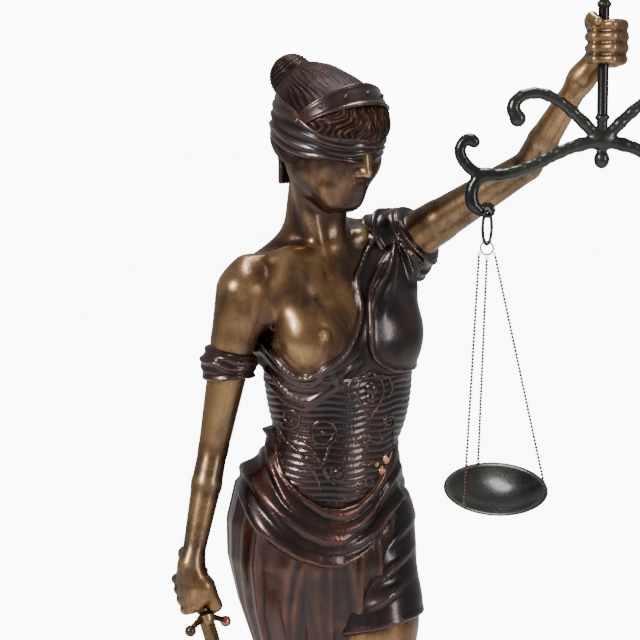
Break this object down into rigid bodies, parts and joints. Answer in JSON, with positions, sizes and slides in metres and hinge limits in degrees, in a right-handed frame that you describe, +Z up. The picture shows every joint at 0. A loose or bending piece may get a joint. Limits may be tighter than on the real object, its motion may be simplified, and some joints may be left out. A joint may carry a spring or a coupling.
{
  "type": "lady justice statue",
  "caption": "Standing blindfolded justice figure in dark bronze on a low round base, sword lowered in the right hand and hanging pan scales raised in the left.",
  "frame": {"origin": "middle of the flat underside of the base", "axes": "+Z up along the standing figure, -Y to the front that the picture shows, +X to the side of the raised scales"},
  "size_m": [0.9759, 0.62, 1.8313],
  "materials": {
    "base_bronze": "dark brown patina, waxed",
    "figure_bronze": "brown patina, waxed, golden on the skin and nearly black on the cloth",
    "sword_bronze": "brown patina, waxed",
    "scales_bronze": "black-green patina, satin",
    "ring_bronze": "dark patina, satin",
    "chain_bronze": "copper-brown patina, satin",
    "pan_bronze": "black-green patina, satin"
  },
  "bodies": {
    "root": {"base": "base_bronze", "figure": "figure_bronze", "sword": "sword_bronze", "scales_beam": "scales_bronze", "hook_ring_left": "ring_bronze", "hook_ring_right": "ring_bronze", "link_left": "ring_bronze", "link_right": "ring_bronze", "chain_left_1": "chain_bronze", "chain_left_2": "chain_bronze", "chain_left_3": "chain_bronze", "chain_right_1": "chain_bronze", "chain_right_2": "chain_bronze", "chain_right_3": "chain_bronze", "pan_left": "pan_bronze", "pan_right": "pan_bronze"}
  },
  "joints": []
}
